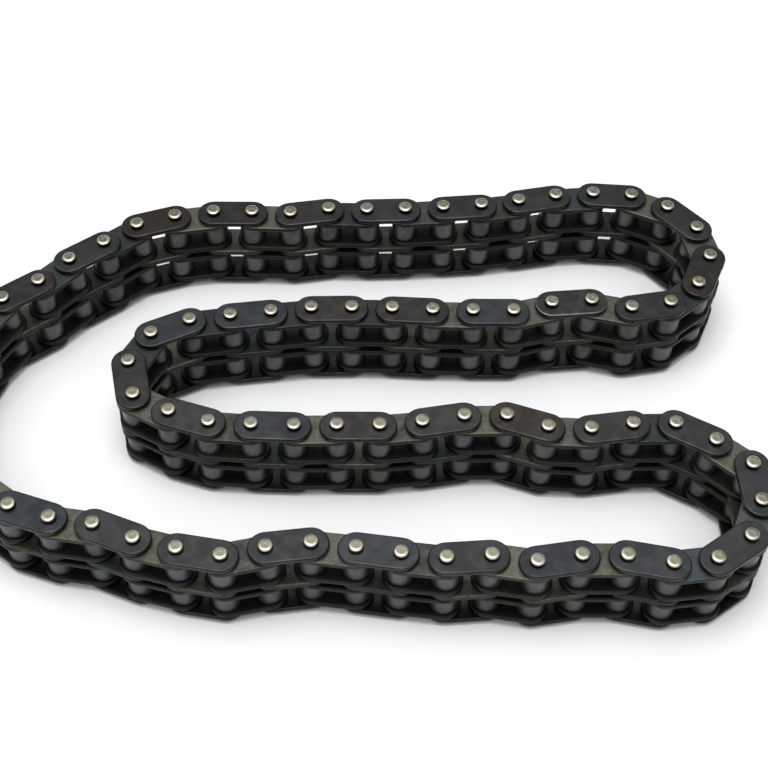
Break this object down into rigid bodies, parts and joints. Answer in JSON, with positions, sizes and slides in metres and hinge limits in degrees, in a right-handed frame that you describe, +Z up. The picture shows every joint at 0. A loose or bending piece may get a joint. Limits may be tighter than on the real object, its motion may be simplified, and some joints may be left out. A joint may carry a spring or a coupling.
{
  "type": "duplex roller chain",
  "caption": "Endless loop of two-strand roller chain with straight-sided plates, riveted pins and turning rollers, lying on its side in folded rows.",
  "frame": {"origin": "under the middle of the loop's plan, on the surface that the lower pin ends rest on", "axes": "+Z up, along every pin; +X to the right along the rows of the lay; +Y away, towards the rear row"},
  "size_m": [0.1884, 0.115, 0.0238],
  "materials": {
    "outer_plate_steel": "blued satin",
    "inner_plate_steel": "oiled satin",
    "roller_steel": "satin",
    "bush_steel": "ground",
    "pin_steel": "bright riveted",
    "chain_steel": "oiled satin"
  },
  "bodies": {
    "inner_link_25": {"left_inner_plates": "inner_plate_steel", "left_bushes": "bush_steel"},
    "outer_link_26": {"left_outer_plates": "outer_plate_steel", "left_centre_plate": "outer_plate_steel", "left_pins": "pin_steel"},
    "inner_link_27": {"inner_link_27": "chain_steel"},
    "outer_link_28": {"outer_link_28": "chain_steel"},
    "inner_link_29": {"inner_link_29": "chain_steel"},
    "outer_link_30": {"outer_link_30": "chain_steel"},
    "inner_link_31": {"inner_link_31": "chain_steel"},
    "outer_link_32": {"outer_link_32": "chain_steel"},
    "inner_link_33": {"inner_link_33": "chain_steel"},
    "outer_link_34": {"outer_link_34": "chain_steel"},
    "inner_link_35": {"inner_link_35": "chain_steel"},
    "outer_link_36": {"outer_link_36": "chain_steel"},
    "inner_link_37": {"inner_link_37": "chain_steel"},
    "outer_link_38": {"outer_link_38": "chain_steel"},
    "inner_link_39": {"inner_link_39": "chain_steel"},
    "outer_link_40": {"outer_link_40": "chain_steel"},
    "inner_link_41": {"inner_link_41": "chain_steel"},
    "outer_link_42": {"outer_link_42": "chain_steel"},
    "links_43_46": {"links_43_46": "chain_steel"},
    "links_47_50": {"links_47_50": "chain_steel"},
    "links_51_54": {"links_51_54": "chain_steel"},
    "links_55_58": {"links_55_58": "chain_steel"},
    "links_59_62": {"links_59_62": "chain_steel"},
    "links_63_66": {"links_63_66": "chain_steel"},
    "links_67_68": {"links_67_68": "chain_steel"},
    "links_69_70": {"links_69_70": "chain_steel"},
    "links_71_72": {"links_71_72": "chain_steel"},
    "links_73_74": {"links_73_74": "chain_steel"},
    "links_75_76": {"links_75_76": "chain_steel"},
    "links_77_00": {"links_77_00": "chain_steel"},
    "links_01_02": {"links_01_02": "chain_steel"},
    "links_03_04": {"links_03_04": "chain_steel"},
    "links_05_06": {"links_05_06": "chain_steel"},
    "links_07_08": {"links_07_08": "chain_steel"},
    "links_09_10": {"links_09_10": "chain_steel"},
    "links_11_12": {"links_11_12": "chain_steel"},
    "links_13_14": {"links_13_14": "chain_steel"},
    "inner_link_15": {"inner_link_15": "chain_steel"},
    "outer_link_16": {"outer_link_16": "chain_steel"},
    "inner_link_17": {"inner_link_17": "chain_steel"},
    "outer_link_18": {"outer_link_18": "chain_steel"},
    "inner_link_19": {"inner_link_19": "chain_steel"},
    "outer_link_20": {"outer_link_20": "chain_steel"},
    "inner_link_21": {"inner_link_21": "chain_steel"},
    "outer_link_22": {"outer_link_22": "chain_steel"},
    "inner_link_23": {"right_inner_plates": "inner_plate_steel", "right_bushes": "bush_steel", "right_rollers": "roller_steel"},
    "connecting_link_24": {"connecting_plate": "outer_plate_steel", "connecting_back_plate": "outer_plate_steel", "connecting_centre_plate": "outer_plate_steel", "connecting_pin_right": "pin_steel", "connecting_pin_left": "pin_steel"},
    "roller_lower_near": {"roller_lower_near": "roller_steel"},
    "roller_lower_far": {"roller_lower_far": "roller_steel"},
    "roller_upper_near": {"roller_upper_near": "roller_steel"},
    "roller_upper_far": {"roller_upper_far": "roller_steel"}
  },
  "joints": [
    {"name": "pin_01_hinge", "type": "hinge", "parent": "links_77_00", "child": "links_01_02", "pos_m": [-0.07381, 0.02135, 0.0119], "axis": [0, 0, 1], "range_deg": [-8, 60]},
    {"name": "pin_03_hinge", "type": "hinge", "parent": "links_01_02", "child": "links_03_04", "pos_m": [-0.05983, 0.03416, 0.0119], "axis": [0, 0, -1], "range_deg": [-60, 0]},
    {"name": "pin_05_hinge", "type": "hinge", "parent": "links_03_04", "child": "links_05_06", "pos_m": [-0.04342, 0.04325, 0.0119], "axis": [0, 0, 1], "range_deg": [0, 60]},
    {"name": "pin_07_hinge", "type": "hinge", "parent": "links_05_06", "child": "links_07_08", "pos_m": [-0.02452, 0.04507, 0.0119], "axis": [0, 0, -1], "range_deg": [-60, 0]},
    {"name": "pin_09_hinge", "type": "hinge", "parent": "links_07_08", "child": "links_09_10", "pos_m": [-0.00562, 0.04656, 0.0119], "axis": [0, 0, 1], "range_deg": [0, 60]},
    {"name": "pin_11_hinge", "type": "hinge", "parent": "links_09_10", "child": "links_11_12", "pos_m": [0.01342, 0.04706, 0.0119], "axis": [0, 0, -1], "range_deg": [-60, 0]},
    {"name": "pin_13_hinge", "type": "hinge", "parent": "links_11_12", "child": "links_13_14", "pos_m": [0.03238, 0.04888, 0.0119], "axis": [0, 0, 1], "range_deg": [0, 60]},
    {"name": "pin_15_hinge", "type": "hinge", "parent": "links_13_14", "child": "inner_link_15", "pos_m": [0.05108, 0.05252, 0.0119], "axis": [0, 0, -1], "range_deg": [-60, 0]},
    {"name": "pin_16_hinge", "type": "hinge", "parent": "inner_link_15", "child": "outer_link_16", "pos_m": [0.06055, 0.05351, 0.0119], "axis": [0, 0, 1], "range_deg": [0, 60]},
    {"name": "pin_17_hinge", "type": "hinge", "parent": "outer_link_16", "child": "inner_link_17", "pos_m": [0.07006, 0.05302, 0.0119], "axis": [0, 0, -1], "range_deg": [-60, 0]},
    {"name": "pin_18_hinge", "type": "hinge", "parent": "inner_link_17", "child": "outer_link_18", "pos_m": [0.07877, 0.04914, 0.0119], "axis": [0, 0, 1], "range_deg": [0, 60]},
    {"name": "pin_19_hinge", "type": "hinge", "parent": "outer_link_18", "child": "inner_link_19", "pos_m": [0.08526, 0.04217, 0.0119], "axis": [0, 0, -1], "range_deg": [-60, 0]},
    {"name": "pin_20_hinge", "type": "hinge", "parent": "inner_link_19", "child": "outer_link_20", "pos_m": [0.0874, 0.03289, 0.0119], "axis": [0, 0, 1], "range_deg": [-30, 60]},
    {"name": "pin_21_hinge", "type": "hinge", "parent": "outer_link_20", "child": "inner_link_21", "pos_m": [0.08368, 0.02413, 0.0119], "axis": [0, 0, -1], "range_deg": [-55, 40]},
    {"name": "pin_22_hinge", "type": "hinge", "parent": "inner_link_21", "child": "outer_link_22", "pos_m": [0.07639, 0.018, 0.0119], "axis": [0, 0, 1], "range_deg": [-60, 60]},
    {"name": "pin_23_hinge", "type": "hinge", "parent": "outer_link_22", "child": "inner_link_23", "pos_m": [0.06704, 0.01619, 0.0119], "axis": [0, 0, -1], "range_deg": [-60, 60]},
    {"name": "pin_24_hinge", "type": "hinge", "parent": "inner_link_23", "child": "connecting_link_24", "pos_m": [0.05772, 0.01817, 0.0119], "axis": [0, 0, 1], "range_deg": [-60, 60]},
    {"name": "pin_26_hinge", "type": "hinge", "parent": "outer_link_26", "child": "inner_link_25", "pos_m": [0.03909, 0.01455, 0.0119], "axis": [0, 0, -1], "range_deg": [-60, 60]},
    {"name": "pin_27_hinge", "type": "hinge", "parent": "inner_link_27", "child": "outer_link_26", "pos_m": [0.02957, 0.01438, 0.0119], "axis": [0, 0, 1], "range_deg": [-60, 60]},
    {"name": "pin_28_hinge", "type": "hinge", "parent": "outer_link_28", "child": "inner_link_27", "pos_m": [0.02004, 0.01438, 0.0119], "axis": [0, 0, -1], "range_deg": [-50, 50]},
    {"name": "pin_29_hinge", "type": "hinge", "parent": "inner_link_29", "child": "outer_link_28", "pos_m": [0.01052, 0.01471, 0.0119], "axis": [0, 0, 1], "range_deg": [-35, 35]},
    {"name": "pin_30_hinge", "type": "hinge", "parent": "outer_link_30", "child": "inner_link_29", "pos_m": [0.001, 0.01471, 0.0119], "axis": [0, 0, -1], "range_deg": [-30, 30]},
    {"name": "pin_31_hinge", "type": "hinge", "parent": "inner_link_31", "child": "outer_link_30", "pos_m": [-0.00852, 0.01438, 0.0119], "axis": [0, 0, 1], "range_deg": [-24, 24]},
    {"name": "pin_32_hinge", "type": "hinge", "parent": "outer_link_32", "child": "inner_link_31", "pos_m": [-0.01795, 0.01305, 0.0119], "axis": [0, 0, -1], "range_deg": [-20, 20]},
    {"name": "pin_33_hinge", "type": "hinge", "parent": "inner_link_33", "child": "outer_link_32", "pos_m": [-0.02739, 0.01173, 0.0119], "axis": [0, 0, 1], "range_deg": [-18, 17]},
    {"name": "pin_34_hinge", "type": "hinge", "parent": "outer_link_34", "child": "inner_link_33", "pos_m": [-0.03677, 0.01007, 0.0119], "axis": [0, 0, -1], "range_deg": [-15, 15]},
    {"name": "pin_35_hinge", "type": "hinge", "parent": "inner_link_35", "child": "outer_link_34", "pos_m": [-0.04533, 0.0059, 0.0119], "axis": [0, 0, 1], "range_deg": [-14, 14]},
    {"name": "pin_36_hinge", "type": "hinge", "parent": "outer_link_36", "child": "inner_link_35", "pos_m": [-0.04965, -0.00259, 0.0119], "axis": [0, 0, -1], "range_deg": [-13, 13]},
    {"name": "pin_37_hinge", "type": "hinge", "parent": "inner_link_37", "child": "outer_link_36", "pos_m": [-0.04751, -0.01187, 0.0119], "axis": [0, 0, 1], "range_deg": [-14, 14]},
    {"name": "pin_38_hinge", "type": "hinge", "parent": "outer_link_38", "child": "inner_link_37", "pos_m": [-0.0391, -0.01634, 0.0119], "axis": [0, 0, -1], "range_deg": [-15, 15]},
    {"name": "pin_39_hinge", "type": "hinge", "parent": "inner_link_39", "child": "outer_link_38", "pos_m": [-0.02999, -0.01913, 0.0119], "axis": [0, 0, 1], "range_deg": [-16, 16]},
    {"name": "pin_40_hinge", "type": "hinge", "parent": "outer_link_40", "child": "inner_link_39", "pos_m": [-0.02048, -0.01962, 0.0119], "axis": [0, 0, -1], "range_deg": [-8, 20]},
    {"name": "pin_41_hinge", "type": "hinge", "parent": "inner_link_41", "child": "outer_link_40", "pos_m": [-0.01095, -0.01979, 0.0119], "axis": [0, 0, 1], "range_deg": [-24, 0]},
    {"name": "pin_42_hinge", "type": "hinge", "parent": "outer_link_42", "child": "inner_link_41", "pos_m": [-0.00144, -0.01946, 0.0119], "axis": [0, 0, -1], "range_deg": [-24, 2]},
    {"name": "pin_43_hinge", "type": "hinge", "parent": "links_43_46", "child": "outer_link_42", "pos_m": [0.00809, -0.01929, 0.0119], "axis": [0, 0, 1], "range_deg": [0, 4]},
    {"name": "pin_47_hinge", "type": "hinge", "parent": "links_47_50", "child": "links_43_46", "pos_m": [0.04547, -0.01892, 0.0119], "axis": [0, 0, -1], "range_deg": [-4, 0]},
    {"name": "pin_51_hinge", "type": "hinge", "parent": "links_51_54", "child": "links_47_50", "pos_m": [0.08233, -0.02191, 0.0119], "axis": [0, 0, 1], "range_deg": [0, 6]},
    {"name": "pin_55_hinge", "type": "hinge", "parent": "links_55_58", "child": "links_51_54", "pos_m": [0.07917, -0.05202, 0.0119], "axis": [0, 0, -1], "range_deg": [-4, 0]},
    {"name": "pin_59_hinge", "type": "hinge", "parent": "links_59_62", "child": "links_55_58", "pos_m": [0.04145, -0.05351, 0.0119], "axis": [0, 0, 1], "range_deg": [0, 6]},
    {"name": "pin_63_hinge", "type": "hinge", "parent": "links_63_66", "child": "links_59_62", "pos_m": [0.0036, -0.05086, 0.0119], "axis": [0, 0, -1], "range_deg": [-6, 0]},
    {"name": "pin_67_hinge", "type": "hinge", "parent": "links_67_68", "child": "links_63_66", "pos_m": [-0.03399, -0.05184, 0.0119], "axis": [0, 0, 1], "range_deg": [0, 12]},
    {"name": "pin_69_hinge", "type": "hinge", "parent": "links_69_70", "child": "links_67_68", "pos_m": [-0.05212, -0.04613, 0.0119], "axis": [0, 0, -1], "range_deg": [-8, 0]},
    {"name": "pin_71_hinge", "type": "hinge", "parent": "links_71_72", "child": "links_69_70", "pos_m": [-0.07062, -0.04186, 0.0119], "axis": [0, 0, 1], "range_deg": [-60, 8]},
    {"name": "pin_73_hinge", "type": "hinge", "parent": "links_73_74", "child": "links_71_72", "pos_m": [-0.08444, -0.02896, 0.0119], "axis": [0, 0, -1], "range_deg": [-8, 60]},
    {"name": "pin_75_hinge", "type": "hinge", "parent": "links_75_76", "child": "links_73_74", "pos_m": [-0.09029, -0.01098, 0.0119], "axis": [0, 0, 1], "range_deg": [-60, 8]},
    {"name": "pin_77_hinge", "type": "hinge", "parent": "links_75_76", "child": "links_77_00", "pos_m": [-0.08637, 0.00747, 0.0119], "axis": [0, 0, -1], "range_deg": [-60, 8]},
    {"name": "roller_lower_near_spin", "type": "hinge", "parent": "inner_link_25", "child": "roller_lower_near", "pos_m": [0.04825, 0.01717, 0.00678], "axis": [0, 0, 1], "continuous": true},
    {"name": "roller_lower_far_spin", "type": "hinge", "parent": "inner_link_25", "child": "roller_lower_far", "pos_m": [0.03909, 0.01455, 0.00678], "axis": [0, 0, 1], "continuous": true},
    {"name": "roller_upper_near_spin", "type": "hinge", "parent": "inner_link_25", "child": "roller_upper_near", "pos_m": [0.04825, 0.01717, 0.01702], "axis": [0, 0, 1], "continuous": true},
    {"name": "roller_upper_far_spin", "type": "hinge", "parent": "inner_link_25", "child": "roller_upper_far", "pos_m": [0.03909, 0.01455, 0.01702], "axis": [0, 0, 1], "continuous": true}
  ]
}
